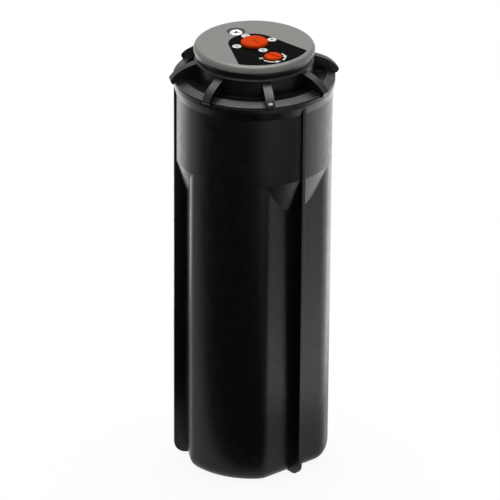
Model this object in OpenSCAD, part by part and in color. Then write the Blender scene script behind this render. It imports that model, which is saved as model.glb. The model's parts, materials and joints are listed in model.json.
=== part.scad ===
// Pop-up sprinkler with a turbine-driven turret, shown with its riser retracted.
// Millimetres, +Z up. The origin is on the can's axis, in the plane of its bottom.
// One fin of the can points along -X.

/* [Can] */
// Outside diameter of the can's round upper part
can_d = 78; // [74:1:84]
// Wall of the can
can_wall = 2.6; // [2:0.1:3.5]
// Distance from the axis to each of the three flats of the lower part
flat_distance = 34; // [33:0.5:36]
// Radius that blends the flats into the lobes
lobe_blend = 9; // [5:0.5:12]
// Height of the round upper part above the taper
upper_h = 41.8; // [36:0.2:60]
// Angle of the taper between the two parts, from the vertical
taper_angle = 15; // [12:1:25]
// Length of the flats above the guide ring's highest place
run_out = 11; // [6:1:20]
// Height of the bead round the mouth
bead_h = 2.5; // [2:0.1:4]
// How far the bead stands out of the can
bead_reach = 1; // [0.8:0.1:2]
// Height of the slope under the bead
bead_slope = 4.2; // [2:0.2:8]
// Thickness of the bottom
floor_t = 3; // [2.5:0.1:5]
// Rounding round the bottom edge
foot_round = 6.2; // [2:0.2:8]

/* [Fins] */
// How far the fins stand out of the round part
fin_reach = 0.9; // [0.6:0.1:2.5]
// Thickness of each fin
fin_t = 2; // [1.4:0.1:3]
// Radius of the fin's lower corner
fin_corner = 6; // [3:0.5:8]

/* [Inlet] */
// Core diameter of the three-quarter inch female pipe thread
inlet_d = 24.1; // [23.9:0.1:24.3]
// Depth of the threaded socket
inlet_depth = 16; // [14:1:20]
// Wall round the socket
inlet_wall = 4.2; // [3:0.2:6]
// Diameter of the water way above the socket
throat_d = 18; // [14:1:20]
// Shoulder that stops the pipe
shoulder_t = 3; // [2:0.5:5]
// Number of ribs between the socket and the wall
inlet_ribs = 6; // [3:1:9]
// Height of those ribs at the socket
inlet_rib_h = 13; // [8:1:15]

/* [Collar nut] */
// Height of the collar's neck top above the can's mouth
neck_h = 10.8; // [9:0.2:16]
// Wall of the neck round the wiper seal
collar_neck_wall = 3.4; // [2.6:0.1:5]
// Number of grip lugs
lug_count = 8; // [6:1:12]
// Thickness of each lug
lug_t = 4.4; // [3:0.2:6]
// How far the lugs stand out of the flange
lug_reach = 2.2; // [1.8:0.1:4]
// How far the lugs' backs bulge, from 0 for a straight line to 1
lug_bulge = 0.45; // [0:0.05:1]
// Radius of the lugs' feet
lug_toe = 2.4; // [1.5:0.1:3]
// How far the lugs hang below the flange
lug_drop = 0.6; // [0.2:0.1:2]
// Angle of the first lug from +X
lug_turn = 2.9; // [0:0.1:45]
// Length of the threaded skirt inside the can
skirt_h = 16; // [10:1:22]
// Wall of the skirt
skirt_wall = 3; // [2.4:0.2:4]
// Thickness of the web that closes the collar round the riser
web_t = 6; // [5:0.5:8]

/* [Wiper seal] */
// Wall of the seal's sleeve
seal_wall = 1; // [0.8:0.1:1.6]
// Thickness of the lip on top of the collar
lip_t = 1.5; // [1:0.1:2.5]
// Wire of the collar's sealing ring
ring_wire = 2.4; // [2:0.1:3]

/* [Riser] */
// Travel of the riser
stroke = 100; // [60:5:150]
// Outside diameter of the riser and the turret
riser_d = 49; // [48:0.2:50]
// Wall of the riser tube
riser_wall = 2.2; // [1.8:0.1:2.8]
// Thickness of the riser's foot flange
foot_t = 4; // [3:0.5:6]
// Gap between the foot flange and the can's flats
foot_gap = 1.9; // [1.5:0.1:2.5]
// Height of the foot above the inlet socket
foot_lift = 5; // [3:1:12]
// Height of the guide ring
guide_h = 8; // [6:1:14]
// Gap between the guide ring and the can
guide_gap = 0.5; // [0.4:0.1:0.8]

/* [Retract spring] */
// Wire diameter
spring_wire = 2.2; // [1.8:0.1:2.6]
// Number of turns
spring_turns = 11; // [8:1:16]

/* [Filter and stator] */
// Height of the filter basket
filter_h = 30; // [20:1:34]
// Gap between the basket and the riser's bore
filter_gap = 2.6; // [2:0.2:4]
// Wall of the basket
filter_wall = 1.4; // [1:0.1:2]
// Columns of slots round the basket
filter_columns = 14; // [8:1:18]
// Height of the chamber of the shutter
chamber_h = 3; // [2.6:0.1:5]
// Thickness of the stator plate
stator_t = 2.5; // [2:0.1:4]
// Groups of swirl ports
port_groups = 4; // [3:1:5]
// Angle of the swirl ports from the vertical
port_lean = 35; // [20:1:40]
// Swing of the shutter between its two ends
trip_swing = 20; // [16:1:24]
// Diameter of the bypass valve
valve_d = 13; // [11:0.5:15]
// Travel of the bypass valve
valve_lift = 3; // [2:0.5:4]

/* [Turbine] */
// Number of blades
blade_count = 16; // [8:1:20]
// Height of the blades
blade_h = 8.5; // [6:0.5:12]
// Outside diameter of the turbine
turbine_d = 37; // [32:0.5:40]
// Diameter of the trip shaft, on which the turbine turns
shaft_d = 2; // [1.8:0.1:2.2]

/* [Gears] */
// Module of the gear train
gear_module = 0.5; // [0.46:0.01:0.52]
// Teeth of each pinion of the train
pinion_teeth = 10; // [9:1:12]
// Teeth of each wheel of the train
wheel_teeth = 32; // [28:1:32]
// Face width of a wheel
wheel_face = 3; // [2:0.5:4]
// Step from one stage to the next
stage_h = 5.5; // [5:0.5:7]
// Wall of the gearbox
box_wall = 1.2; // [1:0.1:1.3]
// Module of the sector gears
sector_module = 0.6; // [0.56:0.01:0.62]
// Teeth of the sector pinion
sector_pinion_teeth = 8; // [8:1:9]
// Teeth of the sector ring
sector_ring_teeth = 56; // [55:1:58]

/* [Turret] */
// Height of the turret from its shoulder to its deck
turret_h = 47; // [47:1:60]
// Wall of the turret
turret_wall = 1.8; // [1.6:0.1:2]
// Heading of the nozzle from +X, at rest
nozzle_heading = 111.3; // [0:0.1:360]
// Rise of the jet above the horizontal
jet_rise = 25; // [15:1:30]
// Diameter of the nozzle drum
drum_d = 29.6; // [28:0.2:30]
// Distance of the jet screw from the axis
jet_screw_r = 16.9; // [16.7:0.1:18.2]
// Distance of the jet screw beside the jet's line
jet_screw_shift = 0.8; // [0:0.1:1.5]
// Travel of the jet screw
jet_screw_travel = 4; // [2:0.5:5]

/* [Cover and knobs] */
// Diameter of the cover
cover_d = 59.8; // [58:0.2:64]
// Height of the cover
cover_h = 3.8; // [3.6:0.1:6]
// Radius of the cover's rim
cover_round = 2.6; // [1.2:0.1:2.8]
// Thickness of the control panel
panel_t = 1.2; // [0.8:0.1:1.6]
// Radius of the panel's round end
panel_r = 12; // [11.5:0.1:12.3]
// Distance of the panel's middle line beside the nozzle's line
panel_shift = 0.9; // [0:0.1:1.5]
// Angle between each straight side of the panel and its middle line
panel_flare = 17.5; // [10:0.5:25]
// Distance from the panel's outer arc to the cover's edge
panel_margin = 2.8; // [2.6:0.1:4]
// Diameter of the nozzle selector
selector_d = 13.3; // [12:0.1:15]
// Height of the nozzle selector above the panel
selector_rise = 1.35; // [1:0.05:4]
// Diameter of the sector knob
sector_knob_d = 8.6; // [8:0.1:10]
// Height of the sector knob above the panel
sector_knob_rise = 1; // [0.8:0.1:3]
// Diameter of the hole over the jet screw
screw_hole_d = 9; // [8.4:0.1:9.3]
// Angle of the sector knob's axle from the nozzle's line
sector_axle_turn = -1.4; // [-5:0.1:5]

/* [Fits] */
// Radial clearance of shafts in their bores
running_gap = 0.06; // [0.03:0.01:0.09]
// Clearance between pieces that are put together
seat_gap = 0.1; // [0.05:0.01:0.15]
// Clearance of a soft piece from what moves past it
soft_gap = 0.3; // [0.25:0.05:0.4]

/* [Hidden] */
$fn = 96;

// Can
can_r = can_d / 2;
inner_r = can_r - can_wall;
lobe_r = can_r - 0.05;
boss_r = inlet_d / 2 + inlet_wall;
boss_top = inlet_depth + shoulder_t;
foot_z = boss_top + foot_lift;
guide_z = foot_z + foot_t;
guide_top = guide_z + guide_h;
taper_z = guide_top + stroke + run_out;
taper_h = (can_r - flat_distance) / tan(taper_angle);
can_h = taper_z + taper_h + upper_h;
lobes_top = taper_z + taper_h + 1;
bead_r = can_r + bead_reach;
fin_angles = [60, 180, 300];

// Collar, from the can's mouth up
neck_r = riser_d / 2 + soft_gap + seal_wall + seat_gap + collar_neck_wall;
neck_top = can_h + neck_h;
skirt_r = inner_r - seat_gap;
web_z = can_h - web_t;
lip_top = neck_top + lip_t;
dish_r = bead_r - 4.6;
dish_z = can_h + 1.2;
lug_r = bead_r + lug_reach;
ring_z = can_h - ring_wire / 2 - 0.4;
ring_r = inner_r - ring_wire / 2;

// Riser and turret, from the lip down
riser_r = riser_d / 2;
riser_bore = riser_r - riser_wall;
foot_r = flat_distance - can_wall - foot_gap;
guide_bore = riser_r + seat_gap;
flange_t = 1.3;
flange_z = lip_top + soft_gap;
deck_z = flange_z + flange_t;
shoulder_z = deck_z - turret_h;
riser_top = shoulder_z - 0.4;
sleeve_bore = riser_r + soft_gap + seal_wall;

// Retract spring
spring_seat_t = 2.5;
spring_top = web_z - spring_seat_t;
spring_r = (riser_r + flat_distance - can_wall) / 2;

// Filter, stator and bypass valve, from the foot up
basket_z = foot_z + 3;
basket_top = basket_z + filter_h;
basket_r = riser_bore - filter_gap;
clip_t = 1.4;
clip_depth = 0.6;
insert_r = riser_bore - seat_gap;
stator_z = basket_top + chamber_h;
stator_top = stator_z + stator_t;
shutter_t = 1.5;
shutter_z = stator_z - 0.2 - shutter_t;
shaft_r = shaft_d / 2;
shaft_bore = shaft_r + running_gap;
valve_r = valve_d / 2;
valve_t = 1.6;
valve_z = stator_top + 0.02;
cage_wall = 1;
cage_r = valve_r + 0.6 + cage_wall;
cage_roof = valve_z + valve_t + valve_lift + 4;
cage_top = cage_roof + 1.4;
skirt_top = stator_top + 3.5;
port_r0 = cage_r + 1.6;
port_r1 = insert_r - 2.4;
port_w = 2;

// Turbine
turbine_r = turbine_d / 2;
blade_t = 1;
blade_root = cage_r + 0.8;
hub_t = 2;
hub_z = max(cage_top + 1, stator_top + 3 + blade_h);
hub_top = hub_z + hub_t;
sleeve_r = 2.1;

// Gear train
pressure_angle = 20;
box_z = hub_top + 3;
box_floor = 2;
gear_z = box_z + box_floor + 1;
axle_spacing = gear_module * (pinion_teeth + wheel_teeth) / 2;
pinion_reach = stage_h + 0.3;
box_inner = axle_spacing + gear_module * (wheel_teeth / 2 + 1) + 0.4;
box_r = box_inner + box_wall;
wheel_z = [for (k = [0:3]) gear_z + 0.5 + k * stage_h];
box_top = wheel_z[3] + wheel_face + 1.6;
lid_t = 2;
lid_top = box_top + lid_t;
rib_t = 3;
bush_wall = 1.5;
output_r = 3;
output_top = shoulder_z - 3;
layshaft_r = 1;

// Turret bearing
neck_wall = 1.8;
bush_r0 = riser_bore - 2.8;
turret_neck_r = bush_r0 - running_gap;
turret_neck_bore = turret_neck_r - neck_wall;
bush_h = 8;
bush_z = riser_top - bush_h;
washer_t = 1;
washer_z = bush_z - washer_t;
neck_clip_z = washer_z - clip_t - 0.05;
neck_z = neck_clip_z - 2;
spider_t = 6;
spider_r = output_r + 2.5;
clutch_t = 2.6;
clutch_r = 7;

// Turret inside
turret_bore = riser_r - turret_wall;
base_t = 4;
base_top = shoulder_z + base_t;
ledge_r = sector_module * sector_ring_teeth / 2 - 1.1;
sector_axle_r = sector_module * (sector_ring_teeth + sector_pinion_teeth) / 2;
sector_ring_h = 4;
sector_z = base_top + 0.1;
tab_z = sector_z + sector_ring_h - 1;
tab_h = 2.2;
tab_r0 = ledge_r - 4.2;
tab_r1 = ledge_r - 1.4;
tab_angle = 9;
tab_play = 2.5;
sector_room = 7;
split_z = base_top + sector_room;
mid_t = 2;
mid_top = split_z + mid_t;
deck_t = jet_screw_travel + 0.4;
drum_r = drum_d / 2;
drum_bore = drum_r + running_gap + 0.02;
drum_z = mid_top + 0.3;
drum_top = deck_z - deck_t - 0.3;
drum_wall = 3.2;
drum_sleeve_r = drum_bore + 1.7;
stem_r = 4;
drum_ring_wire = 1.8;
jet_z = drum_z + 6.5;
jet_start = 8;
jet_r = 4.4;
duct_wall = 1.3;
nozzle_socket_r = 3.5;
nozzle_bores = [2.5, 2, 1.6, 3];
sector_shaft_r = 1.5;
jet_stem_r = 1.6;
jet_head_r = 3.5;
jet_head_h = 2.2;
jet_head_z = deck_z + 1.3;
jet_bore_r = jet_stem_r + running_gap;
jet_tip = jet_z + (jet_screw_r - jet_start) * tan(jet_rise) + jet_r + 0.8;

// Cover and knobs
cover_r = cover_d / 2;
cover_z = deck_z;
cover_top = cover_z + cover_h;
cover_skin = 2.4;
panel_arc_r = cover_r - panel_margin;
knob_gap = 0.2;
knob_z = deck_z + 0.6;
slot_w = 1.4;
slot_depth = 0.4;

// ---- Shared shapes ----

function polar(r, a) = [r * cos(a), r * sin(a)];

// A circle of radius r with three flats, blended at the corners by the radius blend.
function lobe_outline(r, flat, blend) =
    let (turn = acos((flat - blend) / (r - blend)), lobe_steps = 12, blend_steps = 5)
    [
        for (k = fin_angles) each concat(
            [for (i = [0:lobe_steps]) polar(r, k - 60 + (60 - turn) * i / lobe_steps)],
            [for (i = [1:blend_steps])
                polar(r - blend, k - turn) + polar(blend, k - turn + turn * i / blend_steps)],
            [for (i = [0:blend_steps - 1])
                polar(r - blend, k + turn) + polar(blend, k + turn * i / blend_steps)],
            [for (i = [0:lobe_steps - 1]) polar(r, k + turn + (60 - turn) * i / lobe_steps)]
        )
    ];

module lobed_prism(inset, z0, z1) {
    translate([0, 0, z0])
        linear_extrude(z1 - z0)
            polygon(lobe_outline(lobe_r - inset, flat_distance - inset, lobe_blend - inset));
}

// The taper and the round part above it, set in from the can's outside by inset.
module round_part(inset, z1) {
    translate([0, 0, taper_z])
        cylinder(h = taper_h, r1 = flat_distance - inset, r2 = can_r - inset);
    translate([0, 0, taper_z + taper_h])
        cylinder(h = z1 - taper_z - taper_h, r = can_r - inset);
}

module tube(z0, z1, r_out, r_in) {
    translate([0, 0, z0])
        difference() {
            cylinder(h = z1 - z0, r = r_out);
            translate([0, 0, -1])
                cylinder(h = z1 - z0 + 2, r = r_in);
        }
}

module rod(z0, z1, r) {
    translate([0, 0, z0])
        cylinder(h = z1 - z0, r = r);
}

module seal_ring(r, wire, z) {
    translate([0, 0, z])
        rotate_extrude()
            translate([r, 0])
                circle(d = wire);
}

// A piece of a ring, from the angle a0 over the angle span.
module ring_sector(r0, r1, a0, span, z0, z1) {
    rotate([0, 0, a0])
        translate([0, 0, z0])
            rotate_extrude(angle = span)
                translate([r0, 0])
                    square([r1 - r0, z1 - z0]);
}

// Involute gear with one tooth centred on +X and room for backlash.
function involute(a) = tan(a) - a * PI / 180;
function tooth_half_angle(radius, base_r, teeth) =
    90 / teeth * 0.78 + (involute(pressure_angle) - involute(acos(min(1, base_r / max(radius, base_r))))) * 180 / PI;
function gear_outline(size, teeth) =
    let (
        pitch_r = size * teeth / 2,
        base_r = pitch_r * cos(pressure_angle),
        radii = [pitch_r - 1.2 * size, pitch_r - 0.35 * size, pitch_r + 0.25 * size, pitch_r + 0.85 * size]
    )
    [
        for (t = [0:teeth - 1]) each concat(
            [for (r = radii) polar(r, t * 360 / teeth - tooth_half_angle(r, base_r, teeth))],
            [for (i = [3:-1:0]) polar(radii[i], t * 360 / teeth + tooth_half_angle(radii[i], base_r, teeth))]
        )
    ];

module gear(size, teeth, z0, z1, phase) {
    translate([0, 0, z0])
        rotate([0, 0, phase])
            linear_extrude(z1 - z0)
                polygon(gear_outline(size, teeth));
}

// A round-wire compression spring between two heights, with closed end turns.
function coil_z(u, turns, wire, height) =
    let (
        closed = 1 / turns,
        step = wire * 1.04,
        open = (height - wire - 2 * step) / (1 - 2 * closed)
    )
    wire / 2 + (
        u < closed ? step * u / closed :
        u > 1 - closed ? height - wire - step * (1 - u) / closed :
        step + open * (u - closed)
    );

module coil(r, wire, turns, z0, z1, steps, sides) {
    rings = turns * steps;
    points = [
        for (i = [0:rings]) each [
            for (s = [0:sides - 1])
                let (a = 360 * i / steps, w = 360 * s / sides, reach = r + wire / 2 * cos(w))
                [reach * cos(a), reach * sin(a), coil_z(i / rings, turns, wire, z1 - z0) + wire / 2 * sin(w)]
        ]
    ];
    walls = [
        for (i = [0:rings - 1]) each [
            for (s = [0:sides - 1])
                let (n = (s + 1) % sides)
                [i * sides + s, i * sides + n, (i + 1) * sides + n, (i + 1) * sides + s]
        ]
    ];
    ends = [
        [for (s = [sides - 1:-1:0]) s],
        [for (s = [0:sides - 1]) rings * sides + s]
    ];
    translate([0, 0, z0])
        polyhedron(points = points, faces = concat(walls, ends));
}

// Turns its children so that +X is the way the nozzle points.
module turret_frame() {
    rotate([0, 0, nozzle_heading])
        children();
}

// ---- Can and collar ----

// The can's lower edge, rounded in five slopes.
module rounded_foot() {
    slopes = 5;
    outline = lobe_outline(lobe_r, flat_distance, lobe_blend);
    n = len(outline);
    points = [
        for (i = [0:slopes])
            let (k = 1 - foot_round * (1 - cos(90 * i / slopes)) / can_r)
            for (p = outline) [p[0] * k, p[1] * k, foot_round * (1 - sin(90 * i / slopes))]
    ];
    sides = [
        for (i = [0:slopes - 1], j = [0:n - 1])
            let (next = (j + 1) % n)
            [i * n + j, i * n + next, (i + 1) * n + next, (i + 1) * n + j]
    ];
    top = [for (j = [n - 1:-1:0]) j];
    bottom = [for (j = [0:n - 1]) slopes * n + j];
    polyhedron(points = points, faces = concat(sides, [top, bottom]));
}

module fin() {
    reach = can_r + fin_reach;
    start = flat_distance - foot_round;
    rotate([90, 0, 0])
        linear_extrude(fin_t, center = true)
            difference() {
                translate([start, 0])
                    square([reach - start, can_h - bead_h]);
                translate([reach - fin_corner, 0])
                    difference() {
                        square([fin_corner + 1, fin_corner]);
                        translate([0, fin_corner])
                            circle(fin_corner);
                    }
            }
}

module mouth_bead() {
    edge = 0.4;
    rotate_extrude()
        polygon([
            [can_r - 0.5, can_h - bead_h - bead_slope],
            [can_r, can_h - bead_h - bead_slope],
            [bead_r, can_h - bead_h],
            [bead_r, can_h - edge],
            [bead_r - edge, can_h],
            [can_r - 0.5, can_h]
        ]);
}

// What stands inside the can: the inlet socket's wall and the ribs that stay it.
module inlet_boss() {
    rod(0, boss_top, boss_r);
    for (k = [0:inlet_ribs - 1])
        rotate([90, 0, k * 360 / inlet_ribs])
            linear_extrude(2.4, center = true)
                polygon([
                    [0, 0], [can_r, 0], [can_r, inlet_rib_h * 0.5], [boss_r, inlet_rib_h], [0, inlet_rib_h]
                ]);
}

module housing() {
    color([0.09, 0.09, 0.095])
        difference() {
            union() {
                rounded_foot();
                lobed_prism(0, foot_round, lobes_top);
                round_part(0, can_h);
                mouth_bead();
                for (k = fin_angles)
                    rotate([0, 0, k])
                        fin();
            }
            difference() {
                union() {
                    lobed_prism(can_wall, floor_t, lobes_top);
                    round_part(can_wall, can_h + 1);
                }
                inlet_boss();
            }
            rod(-1, inlet_depth, inlet_d / 2);
            rod(-1, boss_top + 1, throat_d / 2);
        }
}

// One lug: an arm that falls from the neck in a flat curve and ends in a round foot.
module grip_lug() {
    shoulder = [neck_r - 1, neck_top - 0.8];
    heel_z = can_h - lug_drop;
    hang_r = bead_r + 0.35;
    hang_z = can_h + 0.2;
    toe = [lug_r, heel_z + lug_toe];
    bend = (shoulder + toe) / 2 + lug_bulge * [toe[0] - shoulder[0], shoulder[1] - toe[1]] / 2;
    steps = 12;
    rotate([90, 0, 0])
        linear_extrude(lug_t, center = true)
            difference() {
                polygon(concat(
                    [
                        for (i = [0:steps])
                            let (u = i / steps)
                            (1 - u) * (1 - u) * shoulder + 2 * u * (1 - u) * bend + u * u * toe
                    ],
                    [
                        for (i = [1:6])
                            toe + lug_toe * [cos(15 * i) - 1, -sin(15 * i)]
                    ],
                    [[shoulder[0], heel_z]]
                ));
                translate([0, heel_z - 1])
                    square([hang_r, hang_z - heel_z + 1]);
                translate([0, heel_z - 1])
                    square([bead_r - 1, can_h + 0.4 - heel_z + 1]);
            }
}

module collar_nut() {
    edge = 0.4;
    skirt_inner = skirt_r - skirt_wall;
    ledge_z = web_z + 2.5;
    groove_half = ring_wire / 2 + 0.1;
    color([0.1, 0.1, 0.105])
        difference() {
            union() {
                rotate_extrude()
                    polygon([
                        [skirt_inner, can_h - skirt_h],
                        [skirt_r - edge, can_h - skirt_h],
                        [skirt_r, can_h - skirt_h + edge],
                        [skirt_r, can_h],
                        [bead_r - edge, can_h],
                        [bead_r, can_h + edge],
                        [bead_r, can_h + edge + 0.3],
                        [dish_r, dish_z + 1],
                        [dish_r - 0.5, dish_z],
                        [neck_r, dish_z],
                        [neck_r, neck_top - 0.8],
                        [neck_r - 0.8, neck_top],
                        [sleeve_bore + seat_gap, neck_top],
                        [sleeve_bore + seat_gap, ledge_z],
                        [sleeve_bore - 0.6, ledge_z],
                        [sleeve_bore - 0.6, web_z],
                        [skirt_inner, web_z]
                    ]);
                for (k = [0:lug_count - 1])
                    rotate([0, 0, lug_turn + k * 360 / lug_count])
                        grip_lug();
            }
            tube(ring_z - groove_half, ring_z + groove_half, skirt_r + 1, ring_r - groove_half);
        }
}

module wiper_seal() {
    inner = sleeve_bore - seal_wall;
    lip_r = neck_r - 0.8;
    ledge_z = web_z + 2.5;
    color([0.05, 0.05, 0.05])
        rotate_extrude()
            polygon([
                [inner, ledge_z],
                [sleeve_bore, ledge_z],
                [sleeve_bore, neck_top],
                [lip_r, neck_top],
                [lip_r, lip_top - 0.4],
                [lip_r - 0.4, lip_top],
                [inner + 0.4, lip_top],
                [inner, lip_top - 0.4]
            ]);
}

module collar_seal_ring() {
    color([0.05, 0.05, 0.05])
        seal_ring(ring_r - 0.05, ring_wire, ring_z);
}

module spring_seat_washer() {
    color([0.75, 0.75, 0.72])
        tube(spring_top, web_z, skirt_r - skirt_wall - 0.3, sleeve_bore - 0.4);
}

module retract_spring() {
    color([0.72, 0.73, 0.75])
        coil(spring_r, spring_wire, spring_turns, guide_top + 0.05, spring_top - 0.05, 20, 8);
}

// ---- Riser ----

module riser_tube() {
    ledge_w = 1.2;
    clip_z = basket_top - 2 - clip_t;
    color([0.12, 0.12, 0.125])
        difference() {
            union() {
                tube(foot_z, riser_top, riser_r, riser_bore);
                tube(foot_z, guide_z, foot_r, riser_bore);
                tube(box_top + 0.05, box_top + 3, riser_r - 0.5, riser_bore - ledge_w);
            }
            tube(clip_z - 0.05, clip_z + clip_t, riser_bore + clip_depth, riser_bore - 0.5);
        }
}

module guide_ring() {
    inset = can_wall + guide_gap;
    color([0.82, 0.81, 0.76])
        difference() {
            lobed_prism(inset, guide_z, guide_top);
            rod(guide_z - 1, guide_top + 1, guide_bore);
        }
}

module filter_basket() {
    rows = 3;
    window_w = 4.4;
    flange_h = 2;
    row_h = (filter_h - 2 * flange_h - 3) / rows;
    color([0.85, 0.45, 0.1])
        difference() {
            union() {
                tube(basket_top - flange_h, basket_top, insert_r, basket_r - filter_wall);
                tube(basket_z, basket_top - flange_h / 2, basket_r, basket_r - filter_wall);
                rod(basket_z, basket_z + flange_h, basket_r);
            }
            for (k = [0:filter_columns - 1], j = [0:rows - 1])
                rotate([0, 0, k * 360 / filter_columns])
                    translate([basket_r - filter_wall - 1, -window_w / 2, basket_z + flange_h + 1 + j * row_h])
                        cube([filter_wall + 2, window_w, row_h - 1.4]);
        }
}

// An open ring that snaps into a groove.
module snap_ring(r0, r1, z, gap_at) {
    gap = 18;
    ring_sector(r0, r1, gap_at + gap / 2, 360 - gap, z, z + clip_t);
}

module filter_clip() {
    gap_at = 90;
    color([0.72, 0.73, 0.75])
        snap_ring(basket_r + 0.5, riser_bore + clip_depth - 0.05, basket_top - 2 - clip_t - 0.02, gap_at);
}

module stator_plate() {
    groups = [for (g = [0:port_groups - 1]) g * 360 / port_groups];
    port_len = port_r1 - port_r0;
    color([0.9, 0.89, 0.84])
        difference() {
            union() {
                rod(stator_z, stator_top, insert_r);
                tube(basket_top, skirt_top, insert_r, insert_r - 1.2);
                tube(stator_top - 0.5, cage_roof + 0.5, cage_r, cage_r - cage_wall);
                rod(cage_roof, cage_top, cage_r);
            }
            rod(stator_z - 1, cage_top + 1, shaft_bore);
            for (g = groups, side = [-1, 1])
                rotate([0, 0, g + side * trip_swing / 2])
                    translate([port_r0 + port_len / 2, 0, stator_z + stator_t / 2])
                        rotate([side * port_lean, 0, 0])
                            cube([port_len, port_w, 3 * stator_t], center = true);
            for (k = [0:5])
                rotate([0, 0, k * 60])
                    translate([valve_r - 2.3, 0, stator_z - 1])
                        cylinder(h = stator_t + 1.01, r = 1.3);
            for (k = [0:3])
                rotate([0, 0, 45 + k * 90])
                    translate([0, -3, stator_top + 0.6])
                        cube([cage_r + 1, 6, cage_roof - stator_top - 1.4]);
        }
}

module reversing_shutter() {
    window = trip_swing * 0.75;
    color([0.93, 0.92, 0.88])
        difference() {
            rod(shutter_z, shutter_z + shutter_t, insert_r - 1.2 - 0.4);
            rod(shutter_z - 1, shutter_z + shutter_t + 1, shaft_r + 0.02);
            for (g = [0:port_groups - 1])
                ring_sector(port_r0 - 0.4, port_r1 + 0.3, g * 360 / port_groups - trip_swing / 2 - window / 2,
                    window, shutter_z - 1, shutter_z + shutter_t + 1);
            for (k = [0:2])
                ring_sector(2.4, valve_r - 0.4, k * 120, 84, shutter_z - 1, shutter_z + shutter_t + 1);
        }
}

module trip_shaft() {
    finger_t = 1.4;
    finger_top = tab_z - soft_gap;
    finger_r = tab_r1 - 0.4;
    color([0.75, 0.76, 0.78]) {
        rod(shutter_z - 0.4, finger_top, shaft_r);
        rotate([0, 0, nozzle_heading + 60])
            translate([0, -1.3, finger_top - finger_t])
                cube([finger_r, 2.6, finger_t]);
    }
}

module bypass_valve() {
    color([0.12, 0.12, 0.12])
        tube(valve_z, valve_z + valve_t, valve_r, shaft_bore);
}

module bypass_spring() {
    color([0.72, 0.73, 0.75])
        coil(shaft_r + 1.8, 0.7, 5, valve_z + valve_t + 0.02, cage_roof - 0.02, 16, 6);
}

// ---- Turbine and gears ----

module turbine_wheel() {
    color([0.88, 0.87, 0.82])
        difference() {
            union() {
                rod(hub_z, hub_top, turbine_r - 2.5);
                for (k = [0:blade_count - 1])
                    rotate([0, 0, k * 360 / blade_count])
                        translate([blade_root, -blade_t / 2, hub_z - blade_h])
                            cube([turbine_r - blade_root, blade_t, blade_h + hub_t / 2]);
                rod(hub_top - 0.5, gear_z, sleeve_r);
                gear(gear_module, pinion_teeth, gear_z, wheel_z[0] + wheel_face + 0.5, 0);
            }
            rod(hub_z - 1, box_top, shaft_bore);
        }
}

// A wheel with a smaller pinion above it, turning on a shaft. The wheel has a gap and the
// pinion a tooth towards the other axle.
module compound_gear(stage, bore, to_partner) {
    difference() {
        union() {
            gear(gear_module, wheel_teeth, wheel_z[stage], wheel_z[stage] + wheel_face,
                to_partner + 180 / wheel_teeth);
            gear(gear_module, pinion_teeth, wheel_z[stage] + wheel_face - 0.5,
                wheel_z[stage] + wheel_face + pinion_reach, to_partner);
        }
        rod(wheel_z[stage] - 1, wheel_z[stage] + wheel_face + pinion_reach + 1, bore);
    }
}

module first_gear() {
    color([0.92, 0.91, 0.87])
        translate([axle_spacing, 0, 0])
            compound_gear(0, layshaft_r + running_gap, 180);
}

module second_gear() {
    color([0.92, 0.91, 0.87])
        compound_gear(1, shaft_bore, 0);
}

module third_gear() {
    color([0.92, 0.91, 0.87])
        translate([axle_spacing, 0, 0])
            compound_gear(2, layshaft_r + running_gap, 180);
}

module output_gear() {
    color([0.92, 0.91, 0.87])
        difference() {
            union() {
                gear(gear_module, wheel_teeth, wheel_z[3], wheel_z[3] + wheel_face, 180 / wheel_teeth);
                rod(wheel_z[3], output_top, output_r);
            }
            rod(wheel_z[3] - 1, output_top + 1, shaft_bore);
        }
}

module layshaft_pin() {
    color([0.75, 0.76, 0.78])
        translate([axle_spacing, 0, 0])
            rod(box_z + 0.4, lid_top - 0.4, layshaft_r);
}

module gearbox_case() {
    leg_w = 1.6;
    color([0.9, 0.89, 0.84])
        difference() {
            union() {
                rod(box_z, box_z + box_floor, box_r);
                tube(box_z, box_top, box_r, box_inner);
                for (k = fin_angles)
                    rotate([90, 0, k])
                        linear_extrude(rib_t, center = true)
                            polygon([
                                [box_inner + 0.3, box_z],
                                [insert_r - leg_w, box_z],
                                [insert_r - leg_w, skirt_top],
                                [insert_r, skirt_top],
                                [insert_r, box_top],
                                [box_inner + 0.3, box_top]
                            ]);
            }
            rod(box_z - 1, box_z + box_floor + 1, sleeve_r + running_gap);
            translate([axle_spacing, 0, 0])
                rod(box_z - 1, box_z + box_floor + 1, layshaft_r + 0.02);
        }
}

module gearbox_lid() {
    boss_h = 3;
    color([0.9, 0.89, 0.84])
        difference() {
            union() {
                rod(box_top, lid_top, box_r);
                rod(box_top - 0.6, box_top + 0.1, box_inner - 0.1);
                rod(lid_top - 0.5, lid_top + boss_h, output_r + bush_wall);
            }
            rod(box_top - 1, lid_top + boss_h + 1, output_r + running_gap);
            translate([axle_spacing, 0, 0])
                rod(box_top - 1, lid_top + 1, layshaft_r + 0.02);
        }
}

// ---- Turret ----

module turret_bush() {
    color([0.85, 0.84, 0.8]) {
        tube(bush_z, riser_top + 0.1, riser_bore - 0.02, bush_r0);
        tube(riser_top, shoulder_z - 0.05, riser_r - 0.4, bush_r0);
    }
}

module thrust_washer() {
    color([0.75, 0.76, 0.78])
        tube(washer_z, bush_z, riser_bore - 0.6, turret_neck_r + 0.2);
}

module turret_clip() {
    gap_at = 30;
    color([0.72, 0.73, 0.75])
        snap_ring(turret_neck_r - 0.68, turret_neck_r + 1.6, neck_clip_z, gap_at);
}

module clutch_disc() {
    color([0.3, 0.3, 0.32])
        tube(neck_z + spider_t + 0.05, neck_z + spider_t + 0.05 + clutch_t, clutch_r, output_r + 0.02);
}

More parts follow.
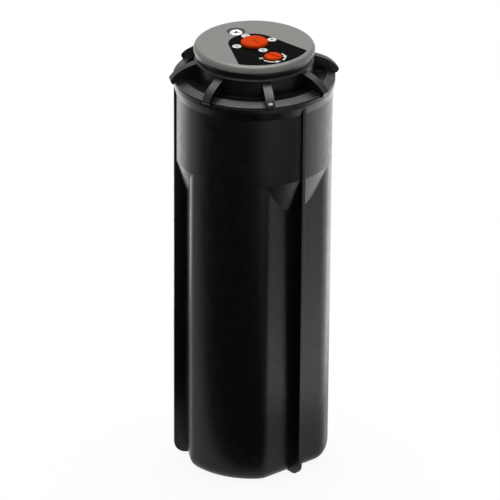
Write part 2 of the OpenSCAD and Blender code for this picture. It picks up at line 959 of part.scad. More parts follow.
module turret_base() {
    color([0.12, 0.12, 0.125])
        turret_frame()
            difference() {
                union() {
                    tube(neck_z, shoulder_z + 1, turret_neck_r, turret_neck_bore);
                    tube(shoulder_z, base_top, riser_r, ledge_r);
                    tube(base_top - 1, split_z, riser_r, turret_bore);
                    rod(neck_z, neck_z + spider_t, spider_r);
                    for (k = [0:2])
                        rotate([0, 0, k * 120])
                            translate([spider_r - 0.5, -1.2, neck_z])
                                cube([turret_neck_bore - spider_r + 1, 2.4, spider_t]);
                }
                rod(neck_z - 1, neck_z + spider_t + 1, output_r + running_gap);
                tube(neck_clip_z - 0.05, neck_clip_z + clip_t + 0.05, turret_neck_r + 1, turret_neck_r - 0.7);
                at_sector_axle()
                    rod(base_top - 2.2, base_top + 1, 1 + running_gap);
            }
}

module at_sector_axle() {
    rotate([0, 0, sector_axle_turn])
        translate([-sector_axle_r, 0, 0])
            children();
}

module at_jet_screw() {
    translate([jet_screw_r, jet_screw_shift, 0])
        children();
}

// Places its children on the jet's line, which becomes their Z axis.
module along_jet() {
    translate([jet_start, 0, jet_z])
        rotate([0, 90 - jet_rise, 0])
            children();
}

module turret_housing() {
    boss_r = jet_head_r + 1.2;
    groove_r = stem_r + drum_ring_wire + 0.3;
    counterbore_z = jet_head_z - jet_screw_travel - 0.2;
    color([0.12, 0.12, 0.125])
        turret_frame()
            difference() {
                union() {
                    tube(split_z, deck_z, riser_r, turret_bore);
                    rod(split_z, mid_top, turret_bore + 0.5);
                    rod(split_z, deck_z, drum_sleeve_r);
                    rod(deck_z - deck_t, deck_z, riser_r - 0.5);
                    rod(flange_z, deck_z, neck_r - 0.3);
                    intersection() {
                        along_jet()
                            cylinder(h = 2 * riser_r, r = jet_r + duct_wall);
                        rod(split_z, deck_z, riser_r - 0.2);
                    }
                    at_jet_screw()
                        rod(jet_tip, deck_z - 0.1, boss_r - 1.2);
                    ring_sector(tab_r0, tab_r1 - 0.4, 90 - tab_angle / 2, tab_angle, tab_z, split_z + 0.5);
                }
                rod(mid_top, deck_z - deck_t, drum_bore);
                rod(split_z - 1, mid_top + 1, drum_r - drum_wall);
                rod(deck_z - deck_t - 1, deck_z + 1, stem_r + running_gap);
                rod(deck_z - deck_t - 1, deck_z - deck_t + drum_ring_wire, groove_r);
                along_jet()
                    cylinder(h = 2 * riser_r, r = jet_r);
                at_jet_screw() {
                    rod(jet_tip - 6, deck_z + 1, jet_bore_r);
                    rod(counterbore_z, deck_z + 1, jet_head_r + 0.4);
                }
                at_sector_axle()
                    rod(split_z - 1, deck_z + 1, sector_shaft_r + running_gap);
            }
}

module drum_seal_ring() {
    color([0.05, 0.05, 0.05])
        seal_ring(stem_r + drum_ring_wire / 2 + 0.12, drum_ring_wire - 0.05,
            drum_top + drum_ring_wire / 2 + 0.05);
}

module nozzle_sockets(r) {
    for (k = [0:3])
        rotate([0, 0, k * 90])
            along_jet()
                cylinder(h = drum_r, r = r);
}

module nozzle_drum() {
    color([0.2, 0.2, 0.21])
        turret_frame()
            difference() {
                union() {
                    rod(drum_z, drum_top, drum_r);
                    rod(drum_top - 1, cover_top - 0.6, stem_r);
                }
                rod(drum_z - 1, drum_top - 3, drum_r - drum_wall);
                nozzle_sockets(nozzle_socket_r);
            }
}

module nozzle_inserts() {
    color([0.95, 0.35, 0.03])
        turret_frame()
            for (k = [0:3])
                rotate([0, 0, k * 90])
                    difference() {
                        intersection() {
                            along_jet()
                                cylinder(h = drum_r, r = nozzle_socket_r - 0.04);
                            tube(drum_z, drum_top, drum_r - 0.1, drum_r - drum_wall + 0.05);
                        }
                        along_jet()
                            translate([0, 0, -1])
                                cylinder(h = drum_r + 2, r = nozzle_bores[k]);
                    }
}

// A round knob cap with a bevelled edge and a screwdriver slot, which starts at the distance
// slot_start from the axis.
module knob_cap(d, z0, z1, slot_start) {
    bevel = 0.5;
    difference() {
        translate([0, 0, z0])
            rotate_extrude()
                polygon([
                    [0, 0], [d / 2, 0], [d / 2, z1 - z0 - bevel], [d / 2 - bevel, z1 - z0], [0, z1 - z0]
                ]);
        translate([slot_start, -slot_w / 2, z1 - slot_depth])
            cube([2 * d, slot_w, slot_depth + 1]);
    }
}

module selector_knob() {
    color([0.95, 0.3, 0.02])
        turret_frame()
            difference() {
                rotate([0, 0, 172])
                    knob_cap(selector_d, knob_z, cover_top + selector_rise, -1);
                rod(knob_z - 1, cover_top - 0.55, stem_r + 0.02);
            }
}

module sector_ring() {
    spigot_r = ledge_r - running_gap;
    color([0.9, 0.89, 0.84])
        turret_frame() {
            difference() {
                union() {
                    gear(sector_module, sector_ring_teeth, sector_z, sector_z + sector_ring_h,
                        180 + 180 / sector_ring_teeth + sector_axle_turn);
                    rod(base_top - 2, sector_z + 0.5, spigot_r);
                }
                rod(base_top - 3, sector_z + sector_ring_h + 1, tab_r1);
            }
            ring_sector(tab_r0, tab_r1 + 0.4, 90 + tab_angle / 2 + tab_play, tab_angle, tab_z, tab_z + tab_h);
        }
}

module sector_pinion() {
    color([0.9, 0.89, 0.84])
        turret_frame()
            at_sector_axle() {
                gear(sector_module, sector_pinion_teeth, sector_z + 0.2, sector_z + sector_ring_h - 0.2, 0);
                rod(base_top - 2, sector_z + 1, 1);
                rod(sector_z + 1, cover_top - 0.6, sector_shaft_r);
            }
}

module sector_knob() {
    color([0.95, 0.3, 0.02])
        turret_frame()
            at_sector_axle()
                difference() {
                    rotate([0, 0, 25])
                        knob_cap(sector_knob_d, knob_z, cover_top + sector_knob_rise, -sector_knob_d);
                    rod(knob_z - 1, cover_top - 0.55, sector_shaft_r + 0.02);
                }
}

module jet_screw() {
    cross_w = 0.9;
    cross_l = 4;
    head_top = jet_head_z + jet_head_h;
    color([0.8, 0.8, 0.82])
        turret_frame()
            at_jet_screw()
                difference() {
                    union() {
                        rod(jet_tip, jet_head_z + 0.5, jet_stem_r);
                        rod(jet_head_z, head_top, jet_head_r);
                    }
                    for (a = [45, 135])
                        rotate([0, 0, a])
                            translate([-cross_l / 2, -cross_w / 2, head_top - 1.3])
                                cube([cross_l, cross_w, 2]);
                }
}

// The outline of the control panel: a round end and two straight sides that spread from it.
module panel_outline() {
    touch = polar(panel_r, 90 - panel_flare);
    far = touch + 2 * cover_r * [-cos(panel_flare), sin(panel_flare)];
    intersection() {
        circle(panel_arc_r);
        translate([0, panel_shift]) {
            circle(panel_r);
            polygon([touch, far, [far[0], -far[1]], [touch[0], -touch[1]]]);
        }
    }
}

module control_panel() {
    color([0.03, 0.03, 0.03])
        turret_frame()
            translate([0, 0, cover_top - panel_t])
                linear_extrude(panel_t)
                    difference() {
                        panel_outline();
                        circle(selector_d / 2 + knob_gap);
                        at_sector_axle()
                            circle(sector_knob_d / 2 + knob_gap);
                    }
}

module turret_cover() {
    rim = [cover_r - cover_round, cover_h - cover_round];
    edge = 0.8;
    cavity_r = neck_r - 0.3 - 1.5;
    boss_wall = 1.2;
    color([0.6, 0.6, 0.58])
        turret_frame()
            difference() {
                translate([0, 0, cover_z])
                    rotate_extrude()
                        polygon(concat(
                            [[0, 0], [cover_r - edge, 0], [cover_r, edge]],
                            [
                                for (i = [0:6])
                                    rim + polar(cover_round, 15 * i)
                            ],
                            [[0, cover_h]]
                        ));
                difference() {
                    rod(cover_z - 1, cover_top - cover_skin, cavity_r);
                    rod(cover_z - 2, cover_top, selector_d / 2 + knob_gap + boss_wall);
                    at_jet_screw()
                        rod(cover_z - 2, cover_top, screw_hole_d / 2 + boss_wall);
                    at_sector_axle()
                        rod(cover_z - 2, cover_top, sector_knob_d / 2 + knob_gap + boss_wall);
                }
                translate([0, 0, cover_top - panel_t])
                    linear_extrude(panel_t + 1)
                        panel_outline();
                rod(cover_z - 1, cover_top + 1, selector_d / 2 + knob_gap);
                at_jet_screw()
                    rod(cover_z - 1, cover_top + 1, screw_hole_d / 2);
                at_sector_axle()
                    rod(cover_z - 1, cover_top + 1, sector_knob_d / 2 + knob_gap);
            }
}

housing();
collar_nut();
wiper_seal();
collar_seal_ring();
spring_seat_washer();
retract_spring();
riser_tube();
guide_ring();
filter_basket();
filter_clip();
stator_plate();
gearbox_case();
gearbox_lid();
layshaft_pin();
turret_bush();
thrust_washer();
reversing_shutter();
trip_shaft();
bypass_valve();
bypass_spring();
turbine_wheel();
first_gear();
second_gear();
third_gear();
output_gear();
clutch_disc();
turret_base();
turret_clip();
turret_housing();
drum_seal_ring();
turret_cover();
control_panel();
sector_ring();
sector_pinion();
sector_knob();
nozzle_drum();
nozzle_inserts();
selector_knob();
jet_screw();
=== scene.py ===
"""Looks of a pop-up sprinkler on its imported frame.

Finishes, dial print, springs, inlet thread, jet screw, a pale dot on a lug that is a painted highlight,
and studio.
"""

import json
import math

import bmesh
import bpy
from bpy.props import FloatProperty, FloatVectorProperty, IntProperty, PointerProperty
from mathutils import Matrix, Vector


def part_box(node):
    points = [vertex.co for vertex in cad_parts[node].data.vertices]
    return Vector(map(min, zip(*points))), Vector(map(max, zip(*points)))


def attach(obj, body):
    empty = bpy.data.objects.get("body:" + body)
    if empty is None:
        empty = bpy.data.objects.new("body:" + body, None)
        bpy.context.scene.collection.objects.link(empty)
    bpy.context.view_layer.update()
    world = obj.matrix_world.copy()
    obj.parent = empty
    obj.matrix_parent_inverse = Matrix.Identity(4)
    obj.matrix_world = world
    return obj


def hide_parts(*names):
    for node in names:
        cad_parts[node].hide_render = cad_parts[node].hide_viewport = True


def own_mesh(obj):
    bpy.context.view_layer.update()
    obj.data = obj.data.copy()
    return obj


bl_info = {
    "name": "Pop-up sprinkler",
    "version": (1, 0, 0),
    "blender": (4, 5, 0),
    "location": "3D View > Sidebar > Sprinkler",
    "description": "Finishes, small parts and a studio for the pop-up sprinkler",
    "category": "Object",
}

MM = 0.001
WELD_DISTANCE = 1e-7
SHARP_ANGLE = math.radians(35)
WIRE_SIDES = 16

PRINT_SINK = 0.02 * MM
DIGIT_DEPTH = 0.015 * MM
DIGIT_WEIGHT = 0.03 * MM
SECTOR_ARCS = ((103, 160), (-75, -106), (-124, -156))
SECTOR_HEADS = ((163, 191), (-106, -124))
CROSS_BEARING = 76.5
CROSS_BAR = (2.6 * MM, 0.6 * MM)

NOISE_LOW = 0.3
NOISE_HIGH = 0.7
FLOW_SCALE = 60
CLOUD_SCALE = 260
GRAIN_SCALE = 2600
SCRATCH_SCALE = 900
PAPER_SCALE = 30
INK_SCALE = 1500
INK_GLOSS_SCALE = 700
INK_GRAIN_SCALE = 3000
FLOW_STRETCH = (1, 1, 0.12)
SCRATCH_STRETCH = (1, 1, 0.05)
GLOSS_SHIFT = 0.05

SENSOR_WIDTH = 36
AIM_POINT = (-1.4088 * MM, 0.2073 * MM, 112.04 * MM)
FLOOR_COLOUR = (0.86, 0.86, 0.86)
FLOOR_GLOW = 1.06
FLOOR_GLOW_SHARE = 0.86

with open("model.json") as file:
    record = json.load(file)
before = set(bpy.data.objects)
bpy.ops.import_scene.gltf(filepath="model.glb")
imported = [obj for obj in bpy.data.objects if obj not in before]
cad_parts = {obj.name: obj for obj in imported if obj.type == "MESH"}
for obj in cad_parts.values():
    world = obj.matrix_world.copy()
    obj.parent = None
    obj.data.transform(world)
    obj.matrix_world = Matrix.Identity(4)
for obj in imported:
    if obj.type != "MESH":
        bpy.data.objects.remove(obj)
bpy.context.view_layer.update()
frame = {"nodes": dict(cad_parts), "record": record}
NODES = frame["nodes"]

BLACK_MOULDINGS = ("housing", "collar_nut", "riser_tube", "turret_base", "turret_housing")
RUBBER_PARTS = ("wiper_seal", "collar_seal_ring", "drum_seal_ring", "bypass_valve")
PALE_PLASTICS = (
    "spring_seat_washer", "guide_ring", "stator_plate", "gearbox_case", "gearbox_lid", "turret_bush",
    "reversing_shutter", "turbine_wheel", "first_gear", "second_gear", "third_gear", "output_gear",
    "sector_ring", "sector_pinion",
)
ORANGE_PARTS = ("selector_knob", "sector_knob", "nozzle_inserts")
STEEL_PARTS = ("layshaft_pin", "trip_shaft", "filter_clip", "turret_clip", "thrust_washer")
GREY_PARTS = ("nozzle_drum", "clutch_disc")


# ---- Sizes, colours and light ----


class SprinklerSizes(bpy.types.PropertyGroup):
    """Sizes of the small parts and prints."""

    nozzle_heading: FloatProperty(
        name="Nozzle heading", description="Direction of the nozzle's line from +X",
        default=math.radians(111.3), subtype="ANGLE",
    )
    dial_turn: FloatProperty(
        name="Dial turn", description="Turn of the four dots from the nozzle's line",
        default=math.radians(-3.5), subtype="ANGLE",
    )
    dial_radius: FloatProperty(
        name="Dial radius", description="Distance of the dots from the selector's axis",
        default=9.6 * MM, unit="LENGTH",
    )
    dot_diameter: FloatProperty(
        name="Dot diameter", description="Diameter of each dot of the dial",
        default=4.5 * MM, unit="LENGTH",
    )
    digit_height: FloatProperty(
        name="Digit height", description="Size of the numbers on the dots",
        default=3.3 * MM, unit="LENGTH",
    )
    print_thickness: FloatProperty(
        name="Print thickness", description="How far a print stands over the panel",
        default=0.05 * MM, unit="LENGTH",
    )
    sector_mark_radius: FloatProperty(
        name="Sector mark radius", description="Radius of the marks round the sector knob",
        default=5.95 * MM, unit="LENGTH",
    )
    sector_mark_width: FloatProperty(
        name="Sector mark width", description="Width of the arcs round the sector knob",
        default=0.9 * MM, unit="LENGTH",
    )
    retract_wire: FloatProperty(
        name="Retract spring wire", description="Diameter of the retract spring's wire",
        default=2.2 * MM, unit="LENGTH",
    )
    retract_turns: IntProperty(
        name="Retract spring turns", description="Open turns of the retract spring",
        default=9, min=5, max=16,
    )
    bypass_wire: FloatProperty(
        name="Bypass spring wire", description="Diameter of the bypass spring's wire",
        default=0.7 * MM, unit="LENGTH",
    )
    bypass_turns: IntProperty(
        name="Bypass spring turns", description="Open turns of the bypass spring",
        default=4, min=2, max=8,
    )
    thread_pitch: FloatProperty(
        name="Thread pitch", description="Pitch of the inlet's pipe thread",
        default=1.814 * MM, unit="LENGTH",
    )
    thread_height: FloatProperty(
        name="Thread height", description="How far the inlet's thread crests stand in",
        default=0.5 * MM, unit="LENGTH",
    )
    screw_edge: FloatProperty(
        name="Screw edge", description="Rounding of the jet screw's head",
        default=0.8 * MM, unit="LENGTH",
    )
    cross_length: FloatProperty(
        name="Cross length", description="Length of each arm pair of the screw's cross",
        default=4.4 * MM, unit="LENGTH",
    )
    cross_width: FloatProperty(
        name="Cross width", description="Width of the screw's cross slots",
        default=1.1 * MM, unit="LENGTH",
    )
    # The pale dot on a lug is a painted highlight of the lug's rounded toe, not a mark on the nut.
    glint_bearing: FloatProperty(
        name="Glint bearing", description="Direction of the lug with the painted glint dot from +X",
        default=math.radians(-87.1), subtype="ANGLE",
    )
    glint_height: FloatProperty(
        name="Glint height", description="Height of the painted glint dot", default=210.6 * MM, unit="LENGTH",
    )
    glint_width: FloatProperty(
        name="Glint width", description="Width of the painted glint dot", default=2.4 * MM, unit="LENGTH",
    )


class SprinklerColours(bpy.types.PropertyGroup):
    """Colours of the finishes."""

    black_plastic: FloatVectorProperty(
        name="Black plastic", description="Can, collar nut, riser and turret",
        default=(0.0024, 0.0024, 0.0025), subtype="COLOR", min=0, max=1,
    )
    black_rubber: FloatVectorProperty(
        name="Black rubber", description="Wiper and seal rings",
        default=(0.005, 0.005, 0.005), subtype="COLOR", min=0, max=1,
    )
    panel_black: FloatVectorProperty(
        name="Panel black", description="Glossy inlay of the cover",
        default=(0.0024, 0.0025, 0.0024), subtype="COLOR", min=0, max=1,
    )
    cover_grey: FloatVectorProperty(
        name="Cover grey", description="Round cover",
        default=(0.21, 0.207, 0.195), subtype="COLOR", min=0, max=1,
    )
    knob_orange: FloatVectorProperty(
        name="Knob orange", description="Selector, sector knob and nozzles",
        default=(0.80, 0.062, 0.0005), subtype="COLOR", min=0, max=1,
    )
    pale_plastic: FloatVectorProperty(
        name="Pale plastic", description="Gears, stator, guide ring and washers",
        default=(0.72, 0.70, 0.62), subtype="COLOR", min=0, max=1,
    )
    filter_orange: FloatVectorProperty(
        name="Filter orange", description="Filter basket",
        default=(0.66, 0.17, 0.02), subtype="COLOR", min=0, max=1,
    )
    clutch_grey: FloatVectorProperty(
        name="Clutch grey", description="Clutch disc and nozzle drum",
        default=(0.07, 0.07, 0.075), subtype="COLOR", min=0, max=1,
    )
    spring_steel: FloatVectorProperty(
        name="Spring steel", description="Springs and snap rings",
        default=(0.55, 0.56, 0.58), subtype="COLOR", min=0, max=1,
    )
    screw_steel: FloatVectorProperty(
        name="Screw steel", description="Jet screw and shafts",
        default=(0.62, 0.62, 0.63), subtype="COLOR", min=0, max=1,
    )
    print_white: FloatVectorProperty(
        name="Print white", description="Dots and marks of the panel",
        default=(0.82, 0.82, 0.80), subtype="COLOR", min=0, max=1,
    )


class SprinklerStudio(bpy.types.PropertyGroup):
    """Light, floor and camera."""

    sky_level: FloatProperty(name="Sky level", description="Light from all round", default=0.35, min=0)
    top_power: FloatProperty(
        name="Top light", description="Power of the large softbox behind and above", default=13.0, min=0,
    )
    crown_power: FloatProperty(
        name="Crown light", description="Power of the overhead softbox that only reflections show",
        default=8.0, min=0,
    )
    left_power: FloatProperty(
        name="Left reflector", description="Power of the left reflector", default=1.1, min=0,
    )
    right_power: FloatProperty(
        name="Right reflector", description="Power of the right reflector", default=1.8, min=0,
    )
    camera_azimuth: FloatProperty(
        name="Camera azimuth", description="Direction of view from +Y",
        default=math.radians(-8.37), subtype="ANGLE",
    )
    camera_elevation: FloatProperty(
        name="Camera elevation", description="Angle of view above the floor",
        default=math.radians(26.26), subtype="ANGLE",
    )
    camera_roll: FloatProperty(
        name="Camera roll", description="Tilt of the picture",
        default=math.radians(0.407), subtype="ANGLE",
    )
    camera_distance: FloatProperty(
        name="Camera distance", description="Distance from the aim point",
        default=2.2566, unit="LENGTH",
    )
    camera_lens: FloatProperty(
        name="Lens", description="Focal length in millimetres", default=324.23, min=1,
    )
    floor_width: FloatProperty(
        name="Floor width", description="Side of the floor", default=12.0, unit="LENGTH",
    )


# ---- Meshes ----


def piece_from(name, shape):
    """Makes a finished object of a bmesh, with welded corners, outward faces and smooth rounds."""
    bmesh.ops.remove_doubles(shape, verts=shape.verts, dist=WELD_DISTANCE)
    bmesh.ops.recalc_face_normals(shape, faces=shape.faces)
    mesh = bpy.data.meshes.new(name)
    shape.to_mesh(mesh)
    shape.free()
    mesh.polygons.foreach_set("use_smooth", [True] * len(mesh.polygons))
    mesh.set_sharp_from_angle(angle=SHARP_ANGLE)
    piece = bpy.data.objects.new(name, mesh)
    bpy.context.scene.collection.objects.link(piece)
    return piece


def turret_matrix():
    """The turret's own axes, with +X along the nozzle's line, in the frame."""
    return Matrix.Rotation(bpy.context.scene.sprinkler_sizes.nozzle_heading, 4, "Z")


def node_centre(node):
    """The middle of a node's box, seen from above."""
    low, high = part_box(node)
    return Vector(((low.x + high.x) / 2, (low.y + high.y) / 2, 0))


def faces_of(ring):
    """The faces that a new ring of vertices closes."""
    return list({face for vert in ring["verts"] for face in vert.link_faces})


def raise_faces(shape, faces, height):
    """Gives flat faces a thickness upwards."""
    grown = bmesh.ops.extrude_face_region(shape, geom=faces)
    tops = [v for v in grown["geom"] if isinstance(v, bmesh.types.BMVert)]
    bmesh.ops.translate(shape, verts=tops, vec=(0, 0, height))


def coil(shape, radius, wire, low, high, open_turns, steps):
    """A compression spring between two levels, with one closed turn at each end."""
    start = Matrix.Translation((radius, 0, low + wire / 2)) @ Matrix.Rotation(math.pi / 2, 4, "X")
    ring = bmesh.ops.create_circle(
        shape, cap_ends=True, radius=wire / 2, segments=WIRE_SIDES, matrix=start,
    )
    profile = faces_of(ring)
    closed = wire * 0.98
    rise = high - low - wire
    runs = ((1, closed), (open_turns, rise - 2 * closed), (1, closed))
    for turns, height in runs:
        count = steps * turns
        spun = bmesh.ops.spin(
            shape, geom=profile, cent=(0, 0, 0), axis=(0, 0, 1), dvec=(0, 0, height / count),
            angle=turns * math.tau, steps=count,
        )
        profile = [f for f in spun["geom_last"] if isinstance(f, bmesh.types.BMFace)]


def turned(shape, outline, steps):
    """Turns an outline of (radius, height) points about the Z axis."""
    corners = [shape.verts.new((r, 0, z)) for r, z in outline]
    edges = [shape.edges.new(pair) for pair in zip(corners, corners[1:])]
    bmesh.ops.spin(
        shape, geom=corners + edges, cent=(0, 0, 0), axis=(0, 0, 1), dvec=(0, 0, 0), angle=math.tau,
        steps=steps, use_merge=True,
    )


# ---- Finishes ----


def finish_nodes(name):
    """A new material with its shader and its object coordinates."""
    material = bpy.data.materials.new(name)
    material.use_nodes = True
    tree = material.node_tree
    shader = tree.nodes["Principled BSDF"]
    place = tree.nodes.new("ShaderNodeTexCoord")
    return material, tree, shader, place


def noise(tree, place, scale, detail=3.0, stretch=(1, 1, 1)):
    """Noise on object coordinates, stretched by a mapping."""
    mapping = tree.nodes.new("ShaderNodeMapping")
    mapping.inputs["Scale"].default_value = stretch
    texture = tree.nodes.new("ShaderNodeTexNoise")
    texture.inputs["Scale"].default_value = scale
    texture.inputs["Detail"].default_value = detail
    tree.links.new(place.outputs["Object"], mapping.inputs["Vector"])
    tree.links.new(mapping.outputs["Vector"], texture.inputs["Vector"])
    return texture.outputs["Fac"]


def spread(tree, value, low, high):
    """Maps a noise's middle range to the range from low to high."""
    ranged = tree.nodes.new("ShaderNodeMapRange")
    ranged.inputs["From Min"].default_value = NOISE_LOW
    ranged.inputs["From Max"].default_value = NOISE_HIGH
    ranged.inputs["To Min"].default_value = low
    ranged.inputs["To Max"].default_value = high
    tree.links.new(value, ranged.inputs["Value"])
    return ranged.outputs["Result"]


def mottled(tree, value, colour, lighter, darker):
    """A colour that a noise shifts a little lighter and darker."""
    mix = tree.nodes.new("ShaderNodeMix")
    mix.data_type = "RGBA"
    mix.inputs["A"].default_value = [c * darker for c in colour] + [1]
    mix.inputs["B"].default_value = [min(1, c * lighter) for c in colour] + [1]
    tree.links.new(value, mix.inputs["Factor"])
    return mix.outputs["Result"]


def relief(tree, shader, value, height, edge=0.0):
    """Bumps a surface by a noise, over softened edges."""
    bump = tree.nodes.new("ShaderNodeBump")
    bump.inputs["Distance"].default_value = height
    tree.links.new(value, bump.inputs["Height"])
    if edge:
        bevel = tree.nodes.new("ShaderNodeBevel")
        bevel.samples = 6
        bevel.inputs["Radius"].default_value = edge
        tree.links.new(bevel.outputs["Normal"], bump.inputs["Normal"])
    tree.links.new(bump.outputs["Normal"], shader.inputs["Normal"])


def moulded_plastic(name, colour, gloss, shine, grain, edge=0.3 * MM, shift=0.08):
    """Injection-moulded plastic: spark-eroded grain, flow marks along the pull and softened edges."""
    material, tree, shader, place = finish_nodes(name)
    flow = spread(tree, noise(tree, place, FLOW_SCALE, 4, FLOW_STRETCH), 0, 1)
    tone = mottled(tree, flow, colour, 1 + shift, 1 - shift)
    tree.links.new(tone, shader.inputs["Base Color"])
    clouds = spread(tree, noise(tree, place, CLOUD_SCALE), gloss - GLOSS_SHIFT, gloss + GLOSS_SHIFT)
    tree.links.new(clouds, shader.inputs["Roughness"])
    shader.inputs["Specular IOR Level"].default_value = shine
    relief(tree, shader, noise(tree, place, GRAIN_SCALE, 2), grain, edge)
    return material


def polished_metal(name, colour, gloss, scratches):
    """Steel with fine drawn scratches."""
    material, tree, shader, place = finish_nodes(name)
    drawn = noise(tree, place, SCRATCH_SCALE, 5, SCRATCH_STRETCH)
    tree.links.new(mottled(tree, drawn, colour, 1.06, 0.9), shader.inputs["Base Color"])
    tree.links.new(spread(tree, drawn, gloss - 0.06, gloss + 0.1), shader.inputs["Roughness"])
    shader.inputs["Metallic"].default_value = 1
    relief(tree, shader, drawn, scratches)
    return material


def print_ink(name, colour):
    """Pad-printed ink, a little uneven."""
    material, tree, shader, place = finish_nodes(name)
    tone = mottled(tree, noise(tree, place, INK_SCALE), colour, 1.04, 0.94)
    tree.links.new(tone, shader.inputs["Base Color"])
    shader.inputs["Specular IOR Level"].default_value = 0.3
    gloss = spread(tree, noise(tree, place, INK_GLOSS_SCALE), 0.35, 0.5)
    tree.links.new(gloss, shader.inputs["Roughness"])
    relief(tree, shader, noise(tree, place, INK_GRAIN_SCALE), 0.004 * MM)
    return material


def seen_directly(tree):
    """1 for rays that show the background as such: camera, glossy and transmission rays."""
    rays = tree.nodes.new("ShaderNodeLightPath")
    both = tree.nodes.new("ShaderNodeMath")
    both.operation = "MAXIMUM"
    every = tree.nodes.new("ShaderNodeMath")
    every.operation = "MAXIMUM"
    tree.links.new(rays.outputs["Is Camera Ray"], both.inputs[0])
    tree.links.new(rays.outputs["Is Glossy Ray"], both.inputs[1])
    tree.links.new(both.outputs["Value"], every.inputs[0])
    tree.links.new(rays.outputs["Is Transmission Ray"], every.inputs[1])
    return every.outputs["Value"]


def dress(nodes, material):
    """Gives CAD nodes a finish."""
    for name in nodes:
        slots = NODES[name].data.materials
        slots.clear()
        slots.append(material)


class SprinklerStep(bpy.types.Operator):
    """Common base of the steps."""

    bl_options = {"REGISTER", "UNDO"}

    @property
    def sizes(self):
        return bpy.context.scene.sprinkler_sizes

    @property
    def colours(self):
        return bpy.context.scene.sprinkler_colours

    @property
    def studio(self):
        return bpy.context.scene.sprinkler_studio


class SPRINKLER_OT_studio(SprinklerStep):
    """Camera, softboxes, white surroundings and floor"""

    bl_idname = "sprinkler.studio"
    bl_label = "Studio"

    def execute(self, context):
        studio = self.studio
        self.place_camera(context, studio)
        self.light_world(context, studio)
        self.lay_floor(studio)
        self.hang_softbox("top_softbox", (0.1, 0.5, 1.4), (1.5, 1.5), studio.top_power, (0, 0, 0.12))
        crown_place = (0, 0.05, 0.9)
        crown = self.hang_softbox("crown_softbox", crown_place, (0.6, 0.6), studio.crown_power, (0, 0, 0))
        crown.visible_diffuse = False
        self.lay_reflector("left_reflector", (-0.289, 0.345), (0.4, 0.4), studio.left_power)
        self.lay_reflector("right_reflector", (0.39, 0.225), (0.6, 0.6), studio.right_power)
        cloth = moulded_plastic("flag_cloth", (0.01, 0.01, 0.01), gloss=0.8, shine=0.02, grain=0.1 * MM)
        self.lay_flag("front_flag", cloth, (-0.38, -0.5), (0.9, 0.9))
        self.lay_flag("side_flag", cloth, (0.31, -0.19), (0.46, 0.22))
        return {"FINISHED"}

    def place_camera(self, context, studio):
        """A long lens on the aim point."""
        data = bpy.data.cameras.new("camera")
        data.sensor_width = SENSOR_WIDTH
        data.lens = studio.camera_lens
        data.clip_end = 50
        camera = bpy.data.objects.new("camera", data)
        context.scene.collection.objects.link(camera)
        turn = Matrix.Rotation(studio.camera_azimuth, 4, "Z")
        tilt = Matrix.Rotation(math.pi / 2 - studio.camera_elevation, 4, "X")
        roll = Matrix.Rotation(studio.camera_roll, 4, "Z")
        aim = Matrix.Translation(AIM_POINT)
        back = Matrix.Translation((0, 0, studio.camera_distance))
        camera.matrix_world = aim @ turn @ tilt @ roll @ back
        context.scene.camera = camera

    def light_world(self, context, studio):
        """A weak sky on the sprinkler, and white for every ray that shows the surroundings."""
        world = bpy.data.worlds.new("studio_world")
        context.scene.world = world
        world.use_nodes = True
        tree = world.node_tree
        light = tree.nodes["Background"]
        light.inputs["Color"].default_value = (1, 1, 1, 1)
        light.inputs["Strength"].default_value = studio.sky_level
        white = tree.nodes.new("ShaderNodeBackground")
        white.inputs["Color"].default_value = (1, 1, 1, 1)
        choose = tree.nodes.new("ShaderNodeMixShader")
        tree.links.new(seen_directly(tree), choose.inputs["Fac"])
        tree.links.new(light.outputs["Background"], choose.inputs[1])
        tree.links.new(white.outputs["Background"], choose.inputs[2])
        tree.links.new(choose.outputs["Shader"], tree.nodes["World Output"].inputs["Surface"])

    def lay_floor(self, studio):
        """Pale paper that glows for direct rays and keeps the sprinkler's shadow."""
        shape = bmesh.new()
        bmesh.ops.create_grid(shape, x_segments=8, y_segments=8, size=studio.floor_width / 2)
        floor = piece_from("floor", shape)
        material, tree, shader, place = finish_nodes("floor_paper")
        paper = mottled(tree, noise(tree, place, PAPER_SCALE), FLOOR_COLOUR, 1.005, 0.995)
        tree.links.new(paper, shader.inputs["Base Color"])
        shader.inputs["Roughness"].default_value = 0.9
        shader.inputs["Specular IOR Level"].default_value = 0.1
        glow = tree.nodes.new("ShaderNodeEmission")
        glow.inputs["Strength"].default_value = FLOOR_GLOW
        share = tree.nodes.new("ShaderNodeMath")
        share.operation = "MULTIPLY"
        share.inputs[1].default_value = FLOOR_GLOW_SHARE
        mix = tree.nodes.new("ShaderNodeMixShader")
        tree.links.new(seen_directly(tree), share.inputs[0])
        tree.links.new(share.outputs["Value"], mix.inputs["Fac"])
        tree.links.new(shader.outputs["BSDF"], mix.inputs[1])
        tree.links.new(glow.outputs["Emission"], mix.inputs[2])
        tree.links.new(mix.outputs["Shader"], tree.nodes["Material Output"].inputs["Surface"])
        floor.data.materials.append(material)

    def hang_softbox(self, name, place, sides, power, aim):
        """A rectangular lamp that faces a point."""
        data = bpy.data.lights.new(name, "AREA")
        data.shape = "RECTANGLE"
        data.size, data.size_y = sides
        data.energy = power
        lamp = bpy.data.objects.new(name, data)
        bpy.context.scene.collection.objects.link(lamp)
        lamp.location = place
        lamp.rotation_euler = (Vector(aim) - Vector(place)).to_track_quat("-Z", "Y").to_euler()
        return lamp

    def lay_reflector(self, name, centre, sides, power):
        """A bright sheet on the floor beside the can, which only reflections show."""
        turn = Matrix.Rotation(self.studio.camera_azimuth, 3, "Z")
        place = turn @ Vector((*centre, 2 * MM))
        lamp = self.hang_softbox(name, place, sides, power, place + Vector((0, 0, 1)))
        lamp.rotation_euler = (math.pi, 0, self.studio.camera_azimuth)
        lamp.visible_camera = False
        lamp.visible_diffuse = False

